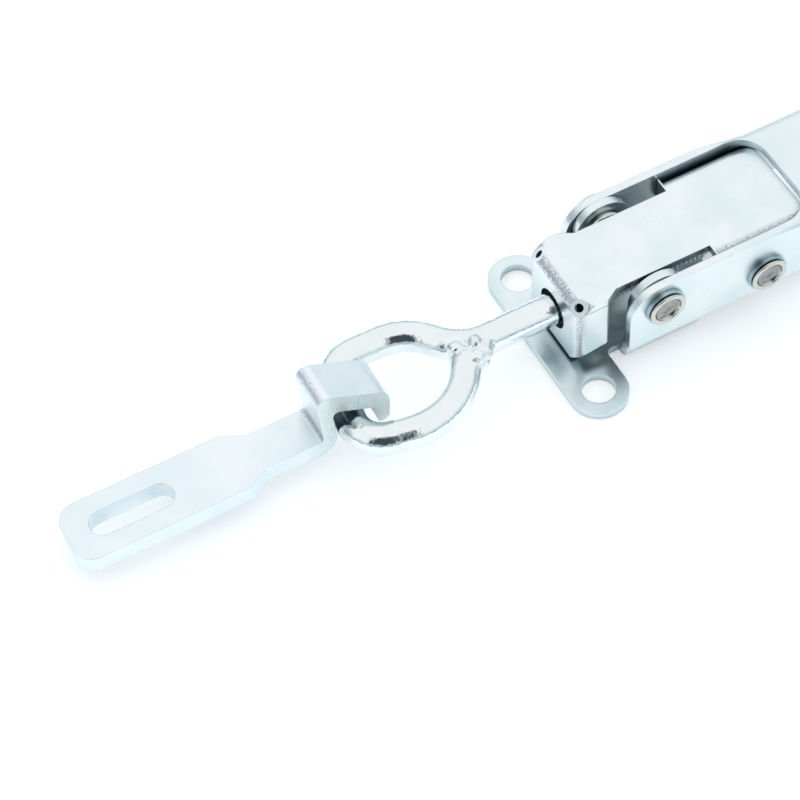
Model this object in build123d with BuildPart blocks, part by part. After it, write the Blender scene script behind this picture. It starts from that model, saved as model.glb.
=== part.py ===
from build123d import *
import math
import os

os.makedirs("parts", exist_ok=True)

# Over centre toggle latch, closed. All lengths are millimetres.
# Origin: midway between the two ear holes, on the base's underside.
# +X runs from the keeper to the handle, +Z away from the panel.

# Sheet
base_sheet = 2.6
body_sheet = 2.5            # lever and carrier
bend_inside = 0.9           # inside radius of an ordinary fold
slip = 0.3                  # side gap between parts that swing past each other

# The two pivots, seen from the side, and the height of the bolt's axis
pivot_x, pivot_z = 23.2, 22.2
draw_x, draw_z = 57.4, 15.9
pull_z = 15.2

# Widths, counted from the middle plane
lever_half = 19.3
lever_inner = lever_half - body_sheet
lug_half = lever_inner - 0.2
lug_inner = lug_half - base_sheet
flange_half = lever_inner - slip
flange_inner = flange_half - body_sheet

# Base
ear_spacing = 46.2
ear_radius = 8.7
fixing_hole_radius = 5.0
lug_radius = 8.9
fold_front, fold_rear = 13.2, 37.0
throat_half = 12.4          # floor left between the two fold reliefs
relief_radius = 2.0
tail_half = 12.0
tail_end = 68.0
tail_hole_x = 55.0

# Lever
lever_front = 12.2
lever_foot = 8.0
wall_top = 30.5
nose_radius = 10.3
web_top = 31.0
web_bend = 5.2              # outside radius of the handle's two long folds
morph_start, morph_end = 59.0, 72.0
window_rear = 74.0
window_corner = 9.0
lever_end = 168.0
grip_corner = 12.0

# Carrier
plate_top = 28.3
carrier_front = -1.8
front_wall_foot = 3.9
front_bend = 3.4            # outside radius of the fold over the front wall
wing_bend = 3.1             # and of the folds back into the wings
wing_half = 13.9
foot_half = 10.2            # the front wall's foot is level this far out, then climbs
wing_rear = 8.7
wing_foot = 7.3             # at the front bend
wing_foot_rear = 8.6
tab_rear, waist_front = 8.0, 11.9
tab_blend = 4.0
waist_half = 11.6
notch_rear = 42.6
notch_corner = 2.2
plate_rear = 73.2
rear_corner = 5.0
roll_radius = 3.8           # outside radius of the rear flanges' folds
flange_radius = 8.0
bolt_clearance_radius = 6.3
dish_radius = 3.4
dish_depth = 0.5
dish_hole_radius = 1.3

# Rivets and washers
rivet_radius = 4.0
running_gap = 0.06
face_gap = 0.05
head_radius = 6.0
head_thickness = 1.9
washer_radius = 6.1
washer_thickness = 1.3
lip_radius = 5.7
lip_height = 1.2
cup_radius = 3.4
cup_depth = 1.6

# Eye bolt and adjusting nut, M10
bar_radius = 4.75
thread_root_radius = 4.15
thread_start, thread_end = -0.6, 48.0
across_flats = 16.0
nut_height = 8.4
eye_droop = 2.0             # degrees that the eye hangs below the shank's line
neck_x = -21.0
far_corner = (-46.2, 15.5)  # where the end bar's line meets the arms', from the neck
near_corner = (-49.2, -14.0)

# Keeper
bar_thickness = 6.0
keeper_floor = 6.0
keeper_left = -153.8
keeper_half = 10.0
end_corner = 6.0
neck_half = 6.4
shoulder_left, shoulder_right = -102.8, -96.3
slot_left, slot_right = -147.0, -121.7
slot_width = 8.3

sides = {"right": -1, "left": 1}
side_view = Plane.XZ


# Base: a floor with two ears, and a lug folded up on each side

with BuildPart() as base:
    lug_crest = pivot_z + lug_radius + 1
    lug_middle = lug_half - base_sheet / 2
    with BuildSketch(Plane.YZ.offset(fold_front)):
        with BuildLine():
            FilletPolyline(
                (-lug_middle, lug_crest),
                (-lug_middle, base_sheet / 2),
                (lug_middle, base_sheet / 2),
                (lug_middle, lug_crest),
                radius=bend_inside + base_sheet / 2,
            )
        trace(line_width=base_sheet)
    extrude(amount=fold_rear - fold_front)
    # the lugs' outline
    with BuildSketch(side_view):
        with BuildLine():
            heel = Line((fold_rear, 0), (fold_front, 0))
            toe = Line(heel @ 1, (fold_front, base_sheet + bend_inside))
            rise = Line(toe @ 1, (pivot_x - lug_radius, pivot_z - lug_radius))
            front = Line(rise @ 1, (pivot_x - lug_radius, pivot_z))
            crown = ThreePointArc(
                front @ 1, (pivot_x, pivot_z + lug_radius), (pivot_x + lug_radius, pivot_z)
            )
            back = Line(crown @ 1, (pivot_x + lug_radius, pivot_z - lug_radius))
            slope = Line(back @ 1, (fold_rear, base_sheet + bend_inside))
            Line(slope @ 1, heel @ 0)
        make_face()
    extrude(amount=lug_half + 1, both=True, mode=Mode.INTERSECT)
    # the flat floor: ears, throat and tail
    with BuildSketch():
        SlotCenterToCenter(ear_spacing, 2 * ear_radius, rotation=90)
        with Locations((fold_front / 2, 0)):
            Rectangle(fold_front + 2, 2 * throat_half)
        with Locations(((fold_rear + tail_end) / 2, 0)):
            Rectangle(tail_end - fold_rear + 2, 2 * tail_half)
    extrude(amount=base_sheet)
    uprights = base.edges().filter_by(Axis.Z)
    fillet(uprights.filter_by_position(Axis.X, ear_radius - 1, ear_radius + 1), relief_radius)
    fillet(base.edges().filter_by(Axis.Z).group_by(Axis.X)[-1], tail_half - 1)
    with Locations((0, -ear_spacing / 2), (0, ear_spacing / 2), (tail_hole_x, 0)):
        Hole(fixing_hole_radius, depth=4 * base_sheet)
    with BuildSketch(side_view):
        with Locations((pivot_x, pivot_z)):
            Circle(rivet_radius)
    extrude(amount=lug_half + 1, both=True, mode=Mode.SUBTRACT)
base.part.label = "base"
export_step(base.part, "parts/base.step")


# Lever: a folded channel, its web cut away at the front to let the carrier through

with BuildPart() as lever:
    # flat walls beside the window
    for wall_face in (lever_inner, -lever_half):
        with BuildSketch(side_view.offset(wall_face)) as wall:
            with Locations(((lever_front + morph_start) / 2, (lever_foot + wall_top) / 2)):
                Rectangle(morph_start - lever_front, wall_top - lever_foot)
            front_corners = wall.vertices().group_by(Axis.X)[0].sort_by(Axis.Y)
            fillet(front_corners[-1], nose_radius)
            fillet(wall.vertices().group_by(Axis.X)[0].sort_by(Axis.Y)[0], 1.0)
        extrude(amount=body_sheet)
    # the walls run into the handle's rounded folds
    for x, top, radius in ((morph_start, wall_top, 0.4), (morph_end, web_top, web_bend)):
        with BuildSketch(Plane.YZ.offset(x)) as outside:
            with Locations((0, (lever_foot + top) / 2)):
                Rectangle(2 * lever_half, top - lever_foot)
            fillet(outside.vertices().group_by(Axis.Y)[-1], radius)
    loft()
    for x, top, radius in (
        (morph_start, wall_top - body_sheet, 0.2),
        (morph_end, web_top - body_sheet, web_bend - body_sheet),
    ):
        with BuildSketch(Plane.YZ.offset(x)) as inside:
            with Locations((0, top / 2)):
                Rectangle(2 * lever_inner, top)
            fillet(inside.vertices().group_by(Axis.Y)[-1], radius)
    loft(mode=Mode.SUBTRACT)
    # the handle
    wall_middle = lever_half - body_sheet / 2
    web_middle = web_top - body_sheet / 2
    with BuildSketch(Plane.YZ.offset(morph_end)):
        with BuildLine():
            FilletPolyline(
                (-wall_middle, lever_foot),
                (-wall_middle, web_middle),
                (wall_middle, web_middle),
                (wall_middle, lever_foot),
                radius=web_bend - body_sheet / 2,
            )
        trace(line_width=body_sheet)
    extrude(amount=lever_end - morph_end)
    grip_ends = lever.edges().filter_by(Axis.Y).group_by(Axis.Z)[0].group_by(Axis.X)[-1]
    fillet(grip_ends, grip_corner)
    # the window
    with BuildSketch() as window:
        with Locations(((lever_front + window_rear) / 2, 0)):
            Rectangle(window_rear - lever_front, 2 * lever_inner)
        fillet(window.vertices().group_by(Axis.X)[-1], window_corner)
    extrude(amount=web_top + 1, mode=Mode.SUBTRACT)
    # rivet holes: the lever turns on the front pair and holds the rear pair
    for x, z, radius in ((pivot_x, pivot_z, rivet_radius + running_gap), (draw_x, draw_z, rivet_radius)):
        with BuildSketch(side_view):
            with Locations((x, z)):
                Circle(radius)
        extrude(amount=lever_half + 1, both=True, mode=Mode.SUBTRACT)
lever.part.label = "lever"
export_step(lever.part, "parts/lever.step")


# Carrier: one blank folded down at the front and at both rear sides, its front wall
# folded back again into two wings

with BuildPart() as carrier:
    plate_under = plate_top - body_sheet
    roll_middle = flange_half - body_sheet / 2
    plate_middle = plate_top - body_sheet / 2
    with BuildSketch(Plane.YZ.offset(notch_rear)):
        with BuildLine():
            FilletPolyline(
                (-roll_middle, 0),
                (-roll_middle, plate_middle),
                (roll_middle, plate_middle),
                (roll_middle, 0),
                radius=roll_radius - body_sheet / 2,
            )
        trace(line_width=body_sheet)
    extrude(amount=plate_rear - notch_rear)
    # the flanges narrow to a round lobe about the draw pivot
    with BuildSketch(side_view):
        with Locations((draw_x, draw_z)):
            Circle(flange_radius)
        with Locations(((notch_rear + plate_rear) / 2, plate_top - roll_radius)):
            Rectangle(plate_rear - notch_rear, 2 * roll_radius)
        make_hull()
    extrude(amount=flange_half + 1, both=True, mode=Mode.INTERSECT)
    # the plate and the block that the front wall and wings are left from
    with BuildSketch(side_view) as hood:
        with Locations(((carrier_front + wing_rear) / 2, (front_wall_foot + plate_top) / 2)):
            Rectangle(wing_rear - carrier_front, plate_top - front_wall_foot)
        fillet(hood.vertices().group_by(Axis.Y)[-1].sort_by(Axis.X)[0], front_bend)
        with Locations(((wing_rear + notch_rear) / 2, plate_middle)):
            Rectangle(notch_rear - wing_rear + 1, body_sheet)
    extrude(amount=flange_half, both=True)
    # the outline from above
    with BuildSketch() as outline:
        with BuildLine():
            Polyline(
                (carrier_front, 0),
                (carrier_front, wing_half),
                (tab_rear, wing_half),
                (waist_front, waist_half),
                (notch_rear, waist_half),
                (notch_rear, flange_half),
                (plate_rear, flange_half),
                (plate_rear, 0),
            )
            mirror(about=side_view)
        make_face()
        rows = outline.vertices().group_by(Axis.X)
        fillet(rows[0], wing_bend)
        fillet(rows[1] + rows[2], tab_blend)
        fillet(rows[3].sort_by(Axis.Y)[1:-1], notch_corner)
        fillet(rows[-1], rear_corner)
    extrude(amount=plate_top + 1, mode=Mode.INTERSECT)
    # the hollow behind the front wall
    with BuildSketch() as hollow:
        with Locations(((carrier_front + body_sheet + wing_rear + 1) / 2, 0)):
            Rectangle(wing_rear + 1 - carrier_front - body_sheet, 2 * (wing_half - body_sheet))
        fillet(hollow.vertices().group_by(Axis.X)[0], bend_inside)
    extrude(amount=plate_under, mode=Mode.SUBTRACT)
    # the wings' lower edge, and the shut line between wings and plate
    with BuildSketch(side_view):
        with BuildLine():
            Polyline(
                (carrier_front + body_sheet, 0),
                (carrier_front + body_sheet, wing_foot),
                (wing_rear + 1, wing_foot_rear),
                (wing_rear + 1, 0),
                close=True,
            )
        make_face()
        with Locations(((carrier_front + front_bend + wing_rear + 1) / 2, plate_under - 0.1)):
            Rectangle(wing_rear + 1 - carrier_front - front_bend, 0.2)
    extrude(amount=wing_half + 1, both=True, mode=Mode.SUBTRACT)
    # the front wall's foot climbs to the wings' round the bends
    with BuildSketch(Plane.YZ.offset(carrier_front - 1)):
        for side in sides.values():
            with BuildLine():
                Polyline(
                    (side * foot_half, front_wall_foot),
                    (side * wing_half, wing_foot),
                    (side * (wing_half + 1), wing_foot),
                    (side * (wing_half + 1), 0),
                    (side * foot_half, 0),
                    close=True,
                )
            make_face()
    extrude(amount=body_sheet + 1, mode=Mode.SUBTRACT)
    # the bolt's clearance hole
    with BuildSketch(Plane.YZ.offset(carrier_front - 1)):
        with Locations((0, pull_z)):
            Circle(bolt_clearance_radius)
    extrude(amount=body_sheet + 2, mode=Mode.SUBTRACT)
    # each front corner is pressed flat, with a shallow dish round a relief hole
    for side in sides.values():
        corner = Plane(
            origin=(carrier_front + 1.75, side * (wing_half - 2.5), plate_top - 1.45),
            z_dir=(-0.55, side * 0.45, 0.70),
        )
        with BuildSketch(corner):
            Circle(6)
        extrude(amount=5, mode=Mode.SUBTRACT)
        with BuildSketch(corner):
            Circle(dish_radius)
        extrude(amount=-dish_depth, taper=60, mode=Mode.SUBTRACT)
        with BuildSketch(corner.offset(1)):
            Circle(dish_hole_radius)
        extrude(amount=-6, mode=Mode.SUBTRACT)
    # the draw rivets' running holes
    with BuildSketch(side_view):
        with Locations((draw_x, draw_z)):
            Circle(rivet_radius + running_gap)
    extrude(amount=flange_half + 1, both=True, mode=Mode.SUBTRACT)
carrier.part.label = "carrier"
export_step(carrier.part, "parts/carrier.step")


# Rivets: a flat head inside, a shank through both sheets, a rolled lip round a cup outside

pivots = {
    "pivot": (pivot_x, pivot_z, lug_inner, lever_half + face_gap),
    "draw": (draw_x, draw_z, flange_inner - face_gap, lever_half),
}
for pivot, (x, z, head_seat, washer_seat) in pivots.items():
    lip_seat = washer_seat + washer_thickness
    lip_top = lip_seat + lip_height
    for side, sign in sides.items():
        # radius along the sketch's x, distance from the middle plane along its y
        section = Plane(origin=(x, 0, z), x_dir=(1, 0, 0), z_dir=(0, 0, sign))
        spindle = Axis((x, 0, z), (0, 1, 0))
        with BuildPart() as rivet:
            with BuildSketch(section):
                with BuildLine():
                    Polyline(
                        (0, lip_top - cup_depth),
                        (0, head_seat - head_thickness),
                        (head_radius, head_seat - head_thickness),
                        (head_radius, head_seat),
                        (rivet_radius, head_seat),
                        (rivet_radius, lip_seat),
                        (lip_radius, lip_seat + 0.25),
                        (lip_radius - 0.3, lip_top - 0.3),
                        (lip_radius - 0.9, lip_top),
                        (cup_radius + 0.3, lip_top),
                        (cup_radius - 0.5, lip_top - cup_depth),
                        close=True,
                    )
                make_face()
            revolve(axis=spindle)
        rivet.part.label = f"{pivot}_rivet_{side}"
        export_step(rivet.part, f"parts/{pivot}_rivet_{side}.step")

        with BuildPart() as washer:
            with BuildSketch(Plane(origin=(x, sign * washer_seat, z), z_dir=(0, sign, 0))):
                Circle(washer_radius)
                Circle(rivet_radius, mode=Mode.SUBTRACT)
            extrude(amount=washer_thickness)
        washer.part.label = f"{pivot}_washer_{side}"
        export_step(washer.part, f"parts/{pivot}_washer_{side}.step")


# Adjusting nut: a hexagon with both faces' corners turned off

with BuildPart() as nut:
    nut_face = Plane(origin=(carrier_front + body_sheet + face_gap, 0, pull_z), z_dir=(1, 0, 0))
    corner_radius = across_flats / math.sqrt(3)
    with BuildSketch(nut_face):
        Circle(corner_radius)
    extrude(amount=nut_height)
    chamfer(nut.edges(), length=0.6, length2=1.0)
    with BuildSketch(nut_face):
        RegularPolygon(across_flats / 2, 6, major_radius=False)
    extrude(amount=nut_height, mode=Mode.INTERSECT)
    with BuildSketch(nut_face):
        Circle(thread_root_radius + running_gap)
    extrude(amount=nut_height, mode=Mode.SUBTRACT)
    bore_rims = nut.edges().filter_by(GeomType.CIRCLE).filter_by(
        lambda rim: rim.radius < thread_root_radius + 1
    )
    chamfer(bore_rims, 0.8)
nut.part.label = "adjusting_nut"
export_step(nut.part, "parts/adjusting_nut.step")


# Eye bolt: one bar, threaded at the rear, bent round into an eye and welded to itself.
# The thread is left plain at its root diameter.

with BuildPart() as eye_bolt:
    with BuildSketch(Plane(origin=(neck_x, 0, pull_z), z_dir=(1, 0, 0))):
        Circle(bar_radius)
    extrude(amount=thread_start - neck_x)
    with BuildSketch(Plane(origin=(thread_start, 0, pull_z), z_dir=(1, 0, 0))):
        Circle(thread_root_radius)
    extrude(amount=thread_end - thread_start)
    chamfer(eye_bolt.edges().group_by(Axis.X)[-1], 0.8)
    # the eye lies in its own plane, hinged down at the neck; the bends are in its x and y
    droop = math.radians(eye_droop)
    eye_plane = Plane(
        origin=(neck_x, 0, pull_z),
        x_dir=(math.cos(droop), 0, math.sin(droop)),
        z_dir=(-math.sin(droop), 0, math.cos(droop)),
    )
    end_bar_middle = (
        (far_corner[0] + near_corner[0]) / 2,
        (far_corner[1] + near_corner[1]) / 2,
    )
    with BuildLine(eye_plane) as far_arm:
        FilletPolyline(
            (0, 0),
            (-9.4, 0),
            (-21.4, 14.7),
            far_corner,
            end_bar_middle,
            radius=[17.0, 17.0, 9.5],
        )
    with BuildLine(eye_plane) as near_arm:
        FilletPolyline(
            end_bar_middle,
            near_corner,
            (-22.0, -19.8),
            (-9.7, -2.1),
            radius=[9.3, 21.0],
        )
    for arm in (far_arm, near_arm):
        with BuildSketch(Plane(origin=arm.line @ 0, z_dir=arm.line % 0)):
            Circle(bar_radius)
        sweep(path=arm.line)
    # the weld that closes the eye
    with Locations((-30.2, -6.2, 17.5), (-26.6, -4.8, 17.2)):
        Sphere(2.5)
eye_bolt.part.label = "eye_bolt"
export_step(eye_bolt.part, "parts/eye_bolt.step")


# Keeper: a flat bar, slotted and wide at its far end, its neck bent up and over into a hook

with BuildPart() as keeper:
    bar_top = keeper_floor + bar_thickness
    hook_start = -84.0
    with BuildSketch(Plane.XY.offset(keeper_floor)) as strip:
        with BuildLine():
            Polyline(
                (keeper_left, -keeper_half),
                (shoulder_left, -keeper_half),
                (shoulder_right, -neck_half),
                (hook_start, -neck_half),
                (hook_start, neck_half),
                (shoulder_right, neck_half),
                (shoulder_left, keeper_half),
                (keeper_left, keeper_half),
                close=True,
            )
        make_face()
        fillet(strip.vertices().group_by(Axis.X)[0], end_corner)
        fillet(strip.vertices().filter_by_position(Axis.X, shoulder_left - 1, shoulder_left + 1), 3.0)
        fillet(strip.vertices().filter_by_position(Axis.X, shoulder_right - 1, shoulder_right + 1), 3.0)
        with Locations(((slot_left + slot_right) / 2, 0)):
            SlotOverall(slot_right - slot_left, slot_width, mode=Mode.SUBTRACT)
    extrude(amount=bar_thickness)
    # the hook's side outline; the eye's end bar hangs in its mouth
    with BuildSketch(side_view) as hook:
        with BuildLine():
            Polyline(
                (hook_start, keeper_floor),
                (-74.0, keeper_floor),
                (-75.2, 23.6),
                (-62.4, 17.0),
                (-61.4, 9.4),
                (-58.0, 9.1),
                (-57.4, 21.2),
                (-80.0, 32.9),
                (-78.4, bar_top),
                (hook_start, bar_top),
                close=True,
            )
        make_face()
        for x, z, radius in (
            (-74.0, keeper_floor, 6.0),
            (-75.2, 23.6, 1.6),
            (-62.4, 17.0, 2.0),
            (-61.4, 9.4, 1.1),
            (-58.0, 9.1, 2.0),
            (-57.4, 21.2, 6.0),
            (-80.0, 32.9, 3.0),
            (-78.4, bar_top, 1.3),
        ):
            fillet(hook.vertices().sort_by_distance((x, z, 0))[0], radius)
    extrude(amount=neck_half, both=True)
keeper.part.label = "keeper"
export_step(keeper.part, "parts/keeper.step")
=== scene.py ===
import bpy
import bmesh
import math
import random
from mathutils import Matrix, Vector


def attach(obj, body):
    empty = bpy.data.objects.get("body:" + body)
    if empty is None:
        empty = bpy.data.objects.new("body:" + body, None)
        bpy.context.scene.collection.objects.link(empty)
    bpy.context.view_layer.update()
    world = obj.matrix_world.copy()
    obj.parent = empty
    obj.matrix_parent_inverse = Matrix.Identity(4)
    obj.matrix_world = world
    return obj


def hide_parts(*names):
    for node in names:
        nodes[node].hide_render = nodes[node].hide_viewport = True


# over centre toggle latch in bright zinc plated steel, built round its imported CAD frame

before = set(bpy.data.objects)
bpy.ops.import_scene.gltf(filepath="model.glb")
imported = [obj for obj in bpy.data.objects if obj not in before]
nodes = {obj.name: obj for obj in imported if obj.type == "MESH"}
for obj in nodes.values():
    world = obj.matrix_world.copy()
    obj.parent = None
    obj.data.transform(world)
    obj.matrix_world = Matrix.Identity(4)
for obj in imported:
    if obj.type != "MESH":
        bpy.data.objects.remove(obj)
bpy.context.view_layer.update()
scene = bpy.context.scene
scene.view_settings.view_transform = "Standard"
mm = 0.001
print("frame loaded:", len(nodes), "nodes")


# camera

cameraView = {
    "lens": 117.1,  # mm, on a 36 mm sensor
    "target": (-0.0499, 0.0034, 0.0),
    "distance": 0.7416,
    "azimuth": -25.11,  # degrees, 0 looks along +Y
    "elevation": 54.26,
    "roll": -4.02,
}


def addCamera(view):
    azimuth, elevation, roll = (math.radians(view[k]) for k in ("azimuth", "elevation", "roll"))
    turn = (
        Matrix.Rotation(azimuth, 4, "Z")
        @ Matrix.Rotation(math.pi / 2 - elevation, 4, "X")
        @ Matrix.Rotation(roll, 4, "Z")
    )
    data = bpy.data.cameras.new("camera")
    data.lens = view["lens"]
    data.sensor_width = 36
    data.clip_start = 0.01
    camera = bpy.data.objects.new("camera", data)
    scene.collection.objects.link(camera)
    place = Vector(view["target"]) + turn.to_3x3() @ Vector((0, 0, view["distance"]))
    camera.matrix_world = Matrix.Translation(place) @ turn
    scene.camera = camera


addCamera(cameraView)
print("camera placed")


# node helpers

def linear(hexColour):
    parts = [int(hexColour[i : i + 2], 16) / 255 for i in (1, 3, 5)]
    return [c / 12.92 if c <= 0.04045 else ((c + 0.055) / 1.055) ** 2.4 for c in parts] + [1.0]


def addNode(tree, kind, settings=None, links=None):
    node = tree.nodes.new(kind)
    for name, value in (settings or {}).items():
        if isinstance(name, int) or name in node.inputs:
            node.inputs[name].default_value = value
        else:
            setattr(node, name, value)
    for name, source in (links or {}).items():
        tree.links.new(source, node.inputs[name])
    return node


def emptyMaterial(name):
    material = bpy.data.materials.new(name)
    material.use_nodes = True
    material.node_tree.nodes.clear()
    return material, material.node_tree


# zinc plate: cold pressed sheet, barrel plated and blue passivated. The eye sees a pale cold
# satin, a faint cloudiness from the bath, and a rough grain where the sheet was stretched.

sheetZinc = {
    "colour": "#eef6f8", "shade": "#e2eff3", "cloudSize": 16.0,
    "roughness": 0.33, "grainSize": 0.6,  # mm, real grain 0.1, drawn coarser so that it shows
    "grainBump": 0.10, "edge": 0.35,
    "bendColour": "#a7a8ba", "bendGrain": 0.42, "topBends": 0.0, "sideBends": 0.0,
    "rollBends": 0.0, "scratchColour": "#bcc6ca", "scratches": 0.0,
    "shearedSides": 0.0, "tearDark": "#c9d5d3", "tearPale": "#e6f0ef", "tearSize": 0.45,
    "tearFrom": -84.0, "tearTo": -76.0,  # mm along the keeper, where its hook starts
    # drawn darker than thin plate is, as a stand-in for the shade in a recess
    "paintedRecessShade": "#466470", "recessDepth": 9.0, "paintedShadeAmount": 0.8,
}
carrierZinc = {**sheetZinc, "roughness": 0.3, "topBends": 1.0, "sideBends": 0.8,
               "rollBends": 0.75, "scratches": 0.45}
keeperZinc = {**sheetZinc, "colour": "#f1f9fd", "shade": "#e8f4fa", "roughness": 0.36,
              "grainBump": 0.16, "topBends": 0.5, "shearedSides": 0.8}
baseZinc = {**sheetZinc, "colour": "#e9f4f7", "shade": "#dcecf1", "roughness": 0.3,
            "cloudSize": 9.0}
# painted shade: the washers are a darker copy of the sheet's zinc, standing in for the shade and
# dark reflection on their sides
washerZincPaintedShade = {**sheetZinc, "colour": "#c3d4d9", "shade": "#a3b8bf", "cloudSize": 2.5,
              "roughness": 0.2}


def zincSheet(name, look):
    material, tree = emptyMaterial(name)
    coords = addNode(tree, "ShaderNodeTexCoord")
    place = addNode(tree, "ShaderNodeVectorMath", {"operation": "SCALE", "Scale": 1 / mm},
                    {0: coords.outputs["Object"]}).outputs[0]
    facing = addNode(tree, "ShaderNodeSeparateXYZ", {}, {0: coords.outputs["Normal"]})
    left = addNode(tree, "ShaderNodeMath", {"operation": "MULTIPLY", 1: -1.0},
                   {0: facing.outputs["X"]}).outputs[0]
    across = addNode(tree, "ShaderNodeMath", {"operation": "ABSOLUTE"},
                     {0: facing.outputs["Y"]}).outputs[0]

    clouds = addNode(tree, "ShaderNodeTexNoise", {"Scale": 1 / look["cloudSize"], "Detail": 3.0},
                     {"Vector": place})
    grain = addNode(tree, "ShaderNodeTexNoise", {"Scale": 1 / look["grainSize"], "Detail": 2.0},
                    {"Vector": place})
    coarse = addNode(tree, "ShaderNodeTexNoise", {"Scale": 1 / look["bendGrain"], "Detail": 3.0},
                     {"Vector": place})
    tint = addNode(tree, "ShaderNodeMapRange", {"From Min": 0.38, "From Max": 0.62},
                   {"Value": clouds.outputs[0]})
    colour = addNode(tree, "ShaderNodeMix",
                     {"data_type": "RGBA", 6: linear(look["colour"]), 7: linear(look["shade"])},
                     {0: tint.outputs[0]}).outputs[2]

    # the stretched outside of a fold faces between two of the flat directions
    topFold = addNode(tree, "ShaderNodeMath", {"operation": "MULTIPLY"},
                      {0: left, 1: facing.outputs["Z"]})
    topAlone = addNode(tree, "ShaderNodeMapRange", {"From Min": 0.3, "From Max": 0.15},
                       {"Value": across})
    topFold = addNode(tree, "ShaderNodeMapRange",
                      {"From Min": 0.1, "From Max": 0.34, "To Max": look["topBends"]},
                      {"Value": topFold.outputs[0]})
    topFold = addNode(tree, "ShaderNodeMath", {"operation": "MULTIPLY"},
                      {0: topFold.outputs[0], 1: topAlone.outputs[0]})
    sideFold = addNode(tree, "ShaderNodeMath", {"operation": "MULTIPLY"}, {0: left, 1: across})
    sideAlone = addNode(tree, "ShaderNodeMapRange", {"From Min": 0.3, "From Max": 0.15},
                        {"Value": facing.outputs["Z"]})
    sideFold = addNode(tree, "ShaderNodeMapRange",
                       {"From Min": 0.36, "From Max": 0.47, "To Max": look["sideBends"]},
                       {"Value": sideFold.outputs[0]})
    sideFold = addNode(tree, "ShaderNodeMath", {"operation": "MULTIPLY"},
                       {0: sideFold.outputs[0], 1: sideAlone.outputs[0]})
    rollFold = addNode(tree, "ShaderNodeMath", {"operation": "MULTIPLY"},
                       {0: across, 1: facing.outputs["Z"]})
    rollFold = addNode(tree, "ShaderNodeMapRange",
                       {"From Min": 0.12, "From Max": 0.3, "To Max": look["rollBends"]},
                       {"Value": rollFold.outputs[0]})
    rollUpper = addNode(tree, "ShaderNodeMapRange", {"From Min": 0.8, "From Max": 0.62},
                        {"Value": across})
    rollAlone = addNode(tree, "ShaderNodeMapRange", {"From Min": 0.25, "From Max": 0.1},
                        {"Value": left})
    rollFold = addNode(tree, "ShaderNodeMath", {"operation": "MULTIPLY"},
                       {0: rollFold.outputs[0], 1: rollUpper.outputs[0]})
    rollFold = addNode(tree, "ShaderNodeMath", {"operation": "MULTIPLY"},
                       {0: rollFold.outputs[0], 1: rollAlone.outputs[0]})
    fold = addNode(tree, "ShaderNodeMath", {"operation": "MAXIMUM"},
                   {0: topFold.outputs[0], 1: sideFold.outputs[0]})
    fold = addNode(tree, "ShaderNodeMath", {"operation": "MAXIMUM"},
                   {0: fold.outputs[0], 1: rollFold.outputs[0]}).outputs[0]
    speckle = addNode(tree, "ShaderNodeMapRange", {"From Min": 0.42, "From Max": 0.6},
                      {"Value": coarse.outputs[0]})
    marked = addNode(tree, "ShaderNodeMath", {"operation": "MULTIPLY"},
                     {0: fold, 1: speckle.outputs[0]})
    colour = addNode(tree, "ShaderNodeMix",
                     {"data_type": "RGBA", 7: linear(look["bendColour"])},
                     {0: marked.outputs[0], 6: colour}).outputs[2]

    # the hook's sheared edge: fine slanting tear lines, greyer than the face
    tall = addNode(tree, "ShaderNodeMapping",
                   {"Rotation": (0, 0.7, 0), "Scale": (1.6, 1.0, 0.16)}, {"Vector": place})
    tear = addNode(tree, "ShaderNodeTexNoise", {"Scale": 1 / look["tearSize"], "Detail": 2.0},
                   {"Vector": tall.outputs[0]})
    along = addNode(tree, "ShaderNodeSeparateXYZ", {}, {0: place})
    atHook = addNode(tree, "ShaderNodeMapRange",
                     {"From Min": look["tearFrom"], "From Max": look["tearTo"]},
                     {"Value": along.outputs["X"]})
    sheared = addNode(tree, "ShaderNodeMapRange",
                      {"From Min": 0.9, "From Max": 0.97, "To Max": look["shearedSides"]},
                      {"Value": across})
    sheared = addNode(tree, "ShaderNodeMath", {"operation": "MULTIPLY"},
                      {0: sheared.outputs[0], 1: atHook.outputs[0]})
    tearTone = addNode(tree, "ShaderNodeMapRange", {"From Min": 0.3, "From Max": 0.7},
                       {"Value": tear.outputs[0]})
    tearColour = addNode(tree, "ShaderNodeMix",
                         {"data_type": "RGBA", 6: linear(look["tearDark"]),
                          7: linear(look["tearPale"])},
                         {0: tearTone.outputs[0]})
    colour = addNode(tree, "ShaderNodeMix", {"data_type": "RGBA"},
                     {0: sheared.outputs[0], 6: colour, 7: tearColour.outputs[2]}).outputs[2]

    # a few short handling scratches, about 0.3 mm wide and 3 mm long
    long = addNode(tree, "ShaderNodeMapping",
                   {"Rotation": (0, 0, 0.6), "Scale": (0.16, 1.6, 1.0)}, {"Vector": place})
    strokes = addNode(tree, "ShaderNodeTexNoise", {"Scale": 1.1, "Detail": 1.0},
                      {"Vector": long.outputs[0]})
    strokes = addNode(tree, "ShaderNodeMapRange",
                      {"From Min": 0.75, "From Max": 0.8, "To Max": look["scratches"]},
                      {"Value": strokes.outputs[0]})
    colour = addNode(tree, "ShaderNodeMix",
                     {"data_type": "RGBA", 7: linear(look["scratchColour"])},
                     {0: strokes.outputs[0], 6: colour}).outputs[2]

    # painted shade: recesses are darkened by ambient occlusion, far darker than their thinner zinc
    # would be, as a stand-in for the shade that falls in them
    shelter = addNode(tree, "ShaderNodeAmbientOcclusion",
                      {"samples": 8, "Distance": look["recessDepth"] * mm})
    paintedRecessShade = addNode(tree, "ShaderNodeMapRange",
                     {"From Min": 0.7, "From Max": 0.2, "To Max": look["paintedShadeAmount"]},
                     {"Value": shelter.outputs["AO"]})
    colour = addNode(tree, "ShaderNodeMix",
                     {"data_type": "RGBA", 7: linear(look["paintedRecessShade"])},
                     {0: paintedRecessShade.outputs[0], 6: colour}).outputs[2]

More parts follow.
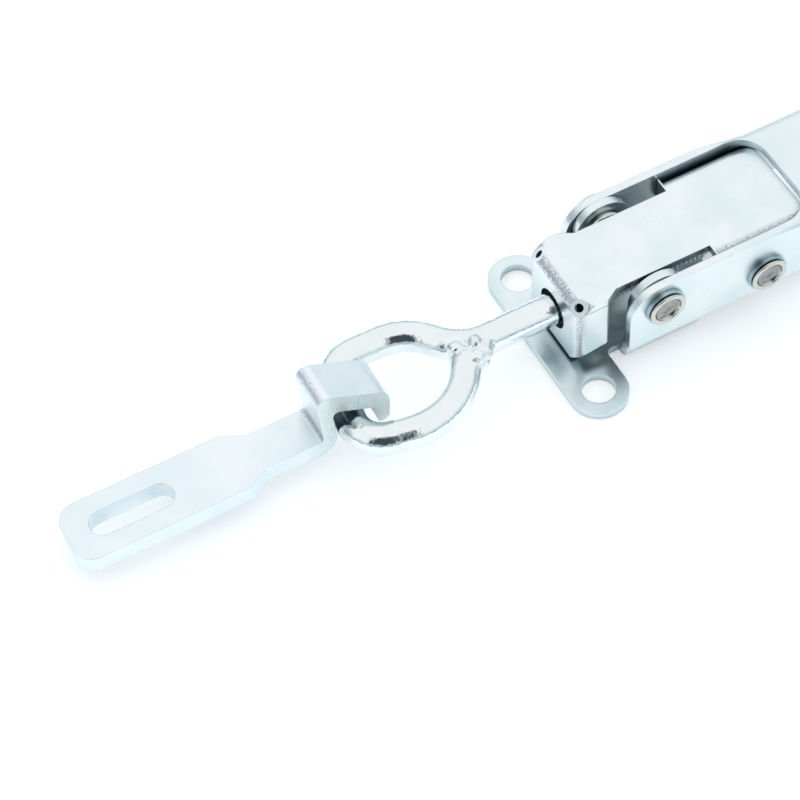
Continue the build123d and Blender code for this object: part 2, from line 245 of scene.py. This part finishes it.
    dull = addNode(tree, "ShaderNodeMath", {"operation": "MAXIMUM"},
                   {0: fold, 1: sheared.outputs[0]})
    rough = addNode(tree, "ShaderNodeMapRange",
                    {"To Min": look["roughness"], "To Max": look["roughness"] + 0.1},
                    {"Value": dull.outputs[0]})
    rounded = addNode(tree, "ShaderNodeBevel", {"samples": 6, "Radius": look["edge"] * mm})
    fine = addNode(tree, "ShaderNodeBump", {"Strength": look["grainBump"], "Distance": 0.02 * mm},
                   {"Height": grain.outputs[0], "Normal": rounded.outputs[0]})
    peel = addNode(tree, "ShaderNodeBump", {"Distance": 0.09 * mm},
                   {"Strength": fold, "Height": coarse.outputs[0], "Normal": fine.outputs[0]})
    metal = addNode(tree, "ShaderNodeBsdfPrincipled", {"Metallic": 1.0},
                    {"Base Color": colour, "Roughness": rough.outputs[0],
                     "Normal": peel.outputs[0]})
    addNode(tree, "ShaderNodeOutputMaterial", {}, {"Surface": metal.outputs[0]})
    return material


# plated round bar: hot drawn rod under the same zinc, bent cold. It is nearly a mirror, and the
# scale under the plate breaks each dark reflection into a ragged, peppered streak.

barZinc = {
    "colour": "#f2f7f8", "shade": "#e4edf0", "cloudSize": 8.0, "roughness": 0.09,
    "pitSize": 0.4, "waveSize": 2.2, "pitDepth": 0.03, "waveDepth": 0.13,  # mm
    "weld": (-29.0, -3.4, 17.0), "weldReach": 8.0, "weldSize": 1.4, "weldDepth": 0.55,
}


def zincBar(name, look):
    material, tree = emptyMaterial(name)
    coords = addNode(tree, "ShaderNodeTexCoord")
    place = addNode(tree, "ShaderNodeVectorMath", {"operation": "SCALE", "Scale": 1 / mm},
                    {0: coords.outputs["Object"]}).outputs[0]
    clouds = addNode(tree, "ShaderNodeTexNoise", {"Scale": 1 / look["cloudSize"], "Detail": 2.0},
                     {"Vector": place})
    colour = addNode(tree, "ShaderNodeMix",
                     {"data_type": "RGBA", 6: linear(look["colour"]), 7: linear(look["shade"])},
                     {0: clouds.outputs[0]}).outputs[2]
    pits = addNode(tree, "ShaderNodeTexNoise", {"Scale": 1 / look["pitSize"], "Detail": 2.0},
                   {"Vector": place})
    waves = addNode(tree, "ShaderNodeTexNoise", {"Scale": 1 / look["waveSize"], "Detail": 2.0},
                    {"Vector": place})
    patches = addNode(tree, "ShaderNodeMapRange", {"From Min": 0.4, "From Max": 0.6},
                      {"Value": clouds.outputs[0]})
    wave = addNode(tree, "ShaderNodeBump", {"Strength": 1.0, "Distance": look["waveDepth"] * mm},
                   {"Height": waves.outputs[0]})
    pit = addNode(tree, "ShaderNodeBump", {"Distance": look["pitDepth"] * mm},
                  {"Strength": patches.outputs[0], "Height": pits.outputs[0],
                   "Normal": wave.outputs[0]})
    # the weld metal froze in small ripples and craters
    away = addNode(tree, "ShaderNodeVectorMath", {"operation": "DISTANCE", 1: look["weld"]},
                   {0: place}).outputs["Value"]
    atWeld = addNode(tree, "ShaderNodeMapRange",
                     {"From Min": look["weldReach"], "From Max": look["weldReach"] * 0.55},
                     {"Value": away})
    ripples = addNode(tree, "ShaderNodeTexNoise", {"Scale": 1 / look["weldSize"], "Detail": 3.0},
                      {"Vector": place})
    craters = addNode(tree, "ShaderNodeBump", {"Distance": look["weldDepth"] * mm},
                      {"Strength": atWeld.outputs[0], "Height": ripples.outputs[0],
                       "Normal": pit.outputs[0]})
    metal = addNode(tree, "ShaderNodeBsdfPrincipled",
                    {"Metallic": 1.0, "Roughness": look["roughness"]},
                    {"Base Color": colour, "Normal": craters.outputs[0]})
    addNode(tree, "ShaderNodeOutputMaterial", {}, {"Surface": metal.outputs[0]})
    return material


# rivet steel: the lip is rolled over by a spinning punch, which rubs the plating to a warm grey
# with fine rings. The cup's floor is drawn in dark and pale blotches, partly the rubbed steel and
# partly painted shade of the hollow and painted glints

rivetSteel = {"colour": "#d3d3ce", "cupDarkAndShade": "#6d706f", "cupPaleAndGlint": "#bfc2c1", "roughness": 0.16,
              "ringSize": 0.25, "cupEnd": 3.7, "rimStart": 4.3}  # mm


def rolledSteel(name, look, x, z):
    material, tree = emptyMaterial(name)
    coords = addNode(tree, "ShaderNodeTexCoord")
    place = addNode(tree, "ShaderNodeVectorMath", {"operation": "SCALE", "Scale": 1 / mm},
                    {0: coords.outputs["Object"]}).outputs[0]
    aside = addNode(tree, "ShaderNodeVectorMath", {"operation": "SUBTRACT", 1: (x, 0, z)},
                    {0: place})
    flat = addNode(tree, "ShaderNodeVectorMath", {"operation": "MULTIPLY", 1: (1, 0, 1)},
                   {0: aside.outputs[0]})
    radius = addNode(tree, "ShaderNodeVectorMath", {"operation": "LENGTH"},
                     {0: flat.outputs[0]}).outputs["Value"]
    rings = addNode(tree, "ShaderNodeMath", {"operation": "SINE"},
                    {0: addNode(tree, "ShaderNodeMath",
                                {"operation": "MULTIPLY", 1: 2 * math.pi / look["ringSize"]},
                                {0: radius}).outputs[0]})
    rim = addNode(tree, "ShaderNodeMapRange",
                  {"From Min": look["cupEnd"], "From Max": look["rimStart"]},
                  {"Value": radius})
    blotch = addNode(tree, "ShaderNodeTexNoise", {"Scale": 0.9, "Detail": 3.0},
                     {"Vector": place})
    # painted shade and painted glints: the cup's floor is blotched dark and pale
    cup = addNode(tree, "ShaderNodeMix",
                  {"data_type": "RGBA", 6: linear(look["cupDarkAndShade"]),
                   7: linear(look["cupPaleAndGlint"])},
                  {0: blotch.outputs[0]})
    colour = addNode(tree, "ShaderNodeMix", {"data_type": "RGBA", 7: linear(look["colour"])},
                     {0: rim.outputs[0], 6: cup.outputs[2]})
    bump = addNode(tree, "ShaderNodeBump", {"Strength": 0.25, "Distance": 0.01 * mm},
                   {"Height": rings.outputs[0]})
    metal = addNode(tree, "ShaderNodeBsdfPrincipled",
                    {"Metallic": 1.0, "Roughness": look["roughness"]},
                    {"Base Color": colour.outputs[2], "Normal": bump.outputs[0]})
    addNode(tree, "ShaderNodeOutputMaterial", {}, {"Surface": metal.outputs[0]})
    return material


sheet = zincSheet("zinc plated lever sheet", {**sheetZinc, "scratches": 0.5})
nodeMaterials = {
    "lever": sheet,
    "carrier": zincSheet("zinc plated carrier sheet", carrierZinc),
    "base": zincSheet("zinc plated base sheet", baseZinc),
    "keeper": zincSheet("zinc plated flat bar", keeperZinc),
    "adjusting_nut": zincSheet("zinc plated nut steel", {**sheetZinc, "roughness": 0.14}),
}
bar = zincBar("zinc plated round bar", barZinc)
# the washers take the darker zinc, painted shade
ring = zincSheet("zinc plated washer steel with painted shade", washerZincPaintedShade)
for name, obj in nodes.items():
    if name in nodeMaterials or "washer" in name:
        for slot in obj.material_slots:
            slot.material = nodeMaterials.get(name, ring)
print("sheet and bar materials done")


# pieces

def addPiece(name, mesh, material, body):
    for face in mesh.polygons:
        face.use_smooth = True
    piece = bpy.data.objects.new(name, mesh)
    scene.collection.objects.link(piece)
    mesh.materials.clear()
    mesh.materials.append(material)
    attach(piece, body)
    return piece


def applyModifiers(piece):
    shaped = piece.evaluated_get(bpy.context.evaluated_depsgraph_get())
    piece.data = bpy.data.meshes.new_from_object(shaped)
    piece.modifiers.clear()


# the eye bolt as it is after welding and plating: its joints run into each other

eyeBolt = {
    "voxel": 0.42,  # mm
    "soften": 9,
    "pull": 15.2,  # height of the shank's line
    # lumps of weld metal: x, y, z, radius
    "weld": [(-30.6, -6.0, 17.0, 2.5), (-28.8, -5.6, 17.7, 2.4), (-26.6, -5.0, 16.8, 2.6),
             (-32.6, -4.2, 18.2, 2.1), (-25.2, -3.0, 17.4, 2.3), (-28.0, -2.0, 18.9, 2.0),
             (-33.4, -0.5, 18.3, 2.0), (-31.5, -3.0, 12.6, 3.0), (-27.5, -4.4, 12.4, 2.8)],
    "seed": 11,
}


def weldedEye(look):
    source = bmesh.new()
    source.from_mesh(nodes["eye_bolt"].data)
    dice = random.Random(look["seed"])
    for x, y, z, radius in look["weld"]:
        shape = Matrix.Translation((x * mm, y * mm, z * mm)) @ Matrix.Diagonal(
            (dice.uniform(0.9, 1.25), dice.uniform(0.85, 1.1), dice.uniform(0.8, 1.0), 1))
        bmesh.ops.create_icosphere(source, subdivisions=3, radius=radius * mm, matrix=shape)
    mesh = bpy.data.meshes.new("eye_bolt_bar")
    source.to_mesh(mesh)
    source.free()
    piece = addPiece("eye_bolt_bar", mesh, bar, "eye_bolt")
    remesh = piece.modifiers.new("fuse", "REMESH")
    remesh.mode = "VOXEL"
    remesh.voxel_size = look["voxel"] * mm
    smooth = piece.modifiers.new("soften", "SMOOTH")
    smooth.factor = 0.5
    smooth.iterations = look["soften"]
    applyModifiers(piece)
    for face in piece.data.polygons:
        face.use_smooth = True
    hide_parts("eye_bolt")


weldedEye(eyeBolt)
print("eye bolt done")


# the bolt's rolled thread, M10 x 1.5

thread = {"start": 0.2, "end": 47.4, "pitch": 1.5, "root": 4.05, "crest": 4.88, "steps": 30}


def rolledThread(look):
    mesh = bpy.data.meshes.new("eye_bolt_thread")
    bm = bmesh.new()
    turns = (look["end"] - look["start"]) / look["pitch"]
    count = int(turns * look["steps"])
    # along the bolt and out from its axis, over one ridge
    ridge = [(-0.52, 0.0), (-0.1, 1.0), (0.1, 1.0), (0.52, 0.0)]
    rows = []
    for i in range(count + 1):
        angle = 2 * math.pi * i / look["steps"]
        fade = min(1.0, i / look["steps"], (count - i) / look["steps"])
        row = []
        for along, out in ridge:
            r = look["root"] + (look["crest"] - look["root"]) * out * fade
            x = look["start"] + look["pitch"] * i / look["steps"] + along * look["pitch"]
            row.append(bm.verts.new((x * mm, r * math.cos(angle) * mm,
                                     (eyeBolt["pull"] + r * math.sin(angle)) * mm)))
        rows.append(row)
    for one, two in zip(rows, rows[1:]):
        for j in range(len(ridge)):
            k = (j + 1) % len(ridge)
            bm.faces.new((one[j], one[k], two[k], two[j]))
    bm.faces.new(rows[0])
    bm.faces.new(list(reversed(rows[-1])))
    bmesh.ops.recalc_face_normals(bm, faces=bm.faces)
    bm.to_mesh(mesh)
    bm.free()
    return addPiece("eye_bolt_thread", mesh, bar, "eye_bolt")


rolledThread(thread)
print("thread done")


# rivets: head inside, rolled lip round a cup outside

rivets = {
    "pivot": {"x": 23.2, "z": 22.2, "head": 13.9, "washer": 19.35},
    "draw": {"x": 57.4, "z": 15.9, "head": 13.85, "washer": 19.3},
}
lip = {"radius": 5.7, "height": 1.2, "cup": 4.15, "depth": 1.6, "shank": 4.0, "washer": 1.3,
       "headRadius": 6.0, "headHeight": 1.9, "chamfer": 0.4, "roll": 0.5, "steps": 56}  # mm


def lipProfile(seat, head):
    base = seat + lip["washer"]
    top = base + lip["height"]
    inner = head - lip["headHeight"]
    rows = [(0.0, inner), (lip["headRadius"] - lip["chamfer"], inner),
            (lip["headRadius"], inner + lip["chamfer"]), (lip["headRadius"], head),
            (lip["shank"], head), (lip["shank"], base + 0.02), (lip["radius"] - 0.45, base + 0.12)]
    middle, half = (lip["radius"] + lip["cup"]) / 2, (lip["radius"] - lip["cup"]) / 2
    for i in range(13):
        angle = math.radians(-25 + 205 * i / 12)
        rows.append((middle + half * math.cos(angle),
                     top - lip["roll"] + lip["roll"] * math.sin(angle)))
    rows += [(lip["cup"] - 0.2, top - 0.9), (lip["cup"] - 0.7, top - lip["depth"] + 0.2),
             (lip["cup"] - 1.5, top - lip["depth"]), (1.2, top - lip["depth"] + 0.15),
             (0.0, top - lip["depth"] + 0.2)]
    return rows


def turnedPiece(name, rows, x, z, side, material, body):
    bm = bmesh.new()
    rings = []
    for radius, out in rows:
        if radius == 0:
            rings.append([bm.verts.new((x * mm, side * out * mm, z * mm))])
            continue
        ring = []
        for i in range(lip["steps"]):
            angle = 2 * math.pi * i / lip["steps"]
            ring.append(bm.verts.new(((x + radius * math.cos(angle)) * mm, side * out * mm,
                                      (z + radius * math.sin(angle)) * mm)))
        rings.append(ring)
    for one, two in zip(rings, rings[1:]):
        for i in range(lip["steps"]):
            j = (i + 1) % lip["steps"]
            corners = [one[i % len(one)], one[j % len(one)], two[j % len(two)], two[i % len(two)]]
            bm.faces.new(list(dict.fromkeys(corners)))
    bmesh.ops.recalc_face_normals(bm, faces=bm.faces)
    mesh = bpy.data.meshes.new(name)
    bm.to_mesh(mesh)
    bm.free()
    return addPiece(name, mesh, material, body)


for pivot, place in rivets.items():
    steel = rolledSteel("rolled rivet steel " + pivot, rivetSteel, place["x"], place["z"])
    for sideName, side in (("left", 1), ("right", -1)):
        node = pivot + "_rivet_" + sideName
        piece = turnedPiece(node + "_rolled", lipProfile(place["washer"], place["head"]),
                            place["x"], place["z"], side, steel,
                            "base" if pivot == "pivot" else "lever")
        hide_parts(node)
print("rivets done")


# the nut with its thread cut out to full depth, so that the bolt's thread has room

nut = {"bore": 4.95}  # mm, radius, just over the drawn thread's crest


def cutNut(look):
    mesh = nodes["adjusting_nut"].data.copy()
    for vertex in mesh.vertices:
        y, z = vertex.co.y / mm, vertex.co.z / mm - eyeBolt["pull"]
        radius = math.hypot(y, z)
        if radius < look["bore"]:
            grow = look["bore"] / radius
            vertex.co.y = y * grow * mm
            vertex.co.z = (eyeBolt["pull"] + z * grow) * mm
    piece = addPiece("adjusting_nut_cut", mesh, nodeMaterials["adjusting_nut"],
                     "adjusting_nut")
    for face in piece.data.polygons:
        face.use_smooth = False
    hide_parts("adjusting_nut")


cutNut(nut)
print("nut done")


# floor and studio

studio = {
    "floor": "#e9eef0", "floorHalf": 2.0, "floorGlow": 0.2, "backdropGlow": 0.24,
    "sky": "#ffffff", "skyRise": (0.08, 0.45), "low": "#c3d8e2",
    "horizon": "#4d5b63", "horizonRise": (0.015, 0.1),
    # the unlit end of the room: which way it is, how wide, and its foot and top as heights of 1
    "dark": "#434c51", "darkAzimuth": (-0.50, -0.866), "darkWidth": (0.82, 0.92),
    "darkFoot": (0.15, 0.3), "darkTop": (0.93, 0.85),
    "corner": (-0.82, 0.52, 0.24), "cornerWidth": (0.86, 0.97), "cornerShare": 0.5,
}


def addFloor(look):
    mesh = bpy.data.meshes.new("floor")
    half = look["floorHalf"]
    mesh.from_pydata([(-half, -half, 0), (half, -half, 0), (half, half, 0), (-half, half, 0)],
                     [], [(0, 1, 2, 3)])
    floor = bpy.data.objects.new("floor", mesh)
    scene.collection.objects.link(floor)
    material, tree = emptyMaterial("white paper sweep")
    paper = addNode(tree, "ShaderNodeBsdfDiffuse", {"Color": linear(look["floor"])})
    path = addNode(tree, "ShaderNodeLightPath")
    # what is seen directly, in metal or through glass is the same white paper
    seen = addNode(tree, "ShaderNodeMath", {"operation": "MAXIMUM"},
                   {0: path.outputs["Is Camera Ray"], 1: path.outputs["Is Glossy Ray"]})
    seen = addNode(tree, "ShaderNodeMath", {"operation": "MAXIMUM"},
                   {0: seen.outputs[0], 1: path.outputs["Is Transmission Ray"]})
    strength = addNode(tree, "ShaderNodeMapRange",
                       {"To Min": look["floorGlow"],
                        "To Max": look["floorGlow"] + look["backdropGlow"]},
                       {"Value": seen.outputs[0]})
    glow = addNode(tree, "ShaderNodeEmission", {"Color": (1, 1, 1, 1)},
                   {"Strength": strength.outputs[0]})
    both = addNode(tree, "ShaderNodeAddShader", {}, {0: paper.outputs[0], 1: glow.outputs[0]})
    addNode(tree, "ShaderNodeOutputMaterial", {}, {"Surface": both.outputs[0]})
    mesh.materials.append(material)


def span(ends):
    return {"From Min": ends[0], "From Max": ends[1]}


def addStudio(look):
    world = bpy.data.worlds.new("studio")
    scene.world = world
    world.use_nodes = True
    tree = world.node_tree
    tree.nodes.clear()
    coords = addNode(tree, "ShaderNodeTexCoord")
    split = addNode(tree, "ShaderNodeSeparateXYZ", {}, {0: coords.outputs["Generated"]})
    height = split.outputs["Z"]
    # soft boxes overhead, paler blue towards the horizon
    rise = addNode(tree, "ShaderNodeMapRange", span(look["skyRise"]), {"Value": height})
    clear = addNode(tree, "ShaderNodeMapRange", span(look["horizonRise"]), {"Value": height})
    sky = addNode(tree, "ShaderNodeMix",
                  {"data_type": "RGBA", 6: linear(look["low"]), 7: linear(look["sky"])},
                  {0: rise.outputs[0]})
    sky = addNode(tree, "ShaderNodeMix", {"data_type": "RGBA", 6: linear(look["horizon"])},
                  {0: clear.outputs[0], 7: sky.outputs[2]})
    # the dark end of the room, up to the edge of the boxes
    flat = addNode(tree, "ShaderNodeVectorMath", {"operation": "MULTIPLY", 1: (1, 1, 0)},
                   {0: coords.outputs["Generated"]})
    flat = addNode(tree, "ShaderNodeVectorMath", {"operation": "NORMALIZE"}, {0: flat.outputs[0]})
    toward = addNode(tree, "ShaderNodeVectorMath",
                     {"operation": "DOT_PRODUCT", 1: (*look["darkAzimuth"], 0)},
                     {0: flat.outputs[0]}).outputs["Value"]
    wide = addNode(tree, "ShaderNodeMapRange", span(look["darkWidth"]), {"Value": toward})
    tall = addNode(tree, "ShaderNodeMapRange", span(look["darkTop"]), {"Value": height})
    foot = addNode(tree, "ShaderNodeMapRange", span(look["darkFoot"]), {"Value": height})
    behind = addNode(tree, "ShaderNodeMath", {"operation": "MULTIPLY"},
                     {0: wide.outputs[0], 1: tall.outputs[0]})
    behind = addNode(tree, "ShaderNodeMath", {"operation": "MULTIPLY"},
                     {0: behind.outputs[0], 1: foot.outputs[0]})
    # and a darker stretch low on the left
    corner = addNode(tree, "ShaderNodeVectorMath",
                     {"operation": "DOT_PRODUCT", 1: look["corner"]},
                     {0: coords.outputs["Generated"]}).outputs["Value"]
    corner = addNode(tree, "ShaderNodeMapRange",
                     {**span(look["cornerWidth"]), "To Max": look["cornerShare"]},
                     {"Value": corner})
    unlit = addNode(tree, "ShaderNodeMath", {"operation": "MAXIMUM"},
                    {0: behind.outputs[0], 1: corner.outputs[0]})
    room = addNode(tree, "ShaderNodeMix", {"data_type": "RGBA", 7: linear(look["dark"])},
                   {0: unlit.outputs[0], 6: sky.outputs[2]})
    light = addNode(tree, "ShaderNodeBackground", {"Strength": 1.0}, {"Color": room.outputs[2]})
    white = addNode(tree, "ShaderNodeBackground", {"Color": (1, 1, 1, 1), "Strength": 1.0})
    # the camera sees plain white, while the metal mirrors the room
    path = addNode(tree, "ShaderNodeLightPath")
    mixed = addNode(tree, "ShaderNodeMixShader", {},
                    {0: path.outputs["Is Camera Ray"], 1: light.outputs[0], 2: white.outputs[0]})
    addNode(tree, "ShaderNodeOutputWorld", {}, {"Surface": mixed.outputs[0]})


addFloor(studio)
addStudio(studio)
print("floor and studio done")
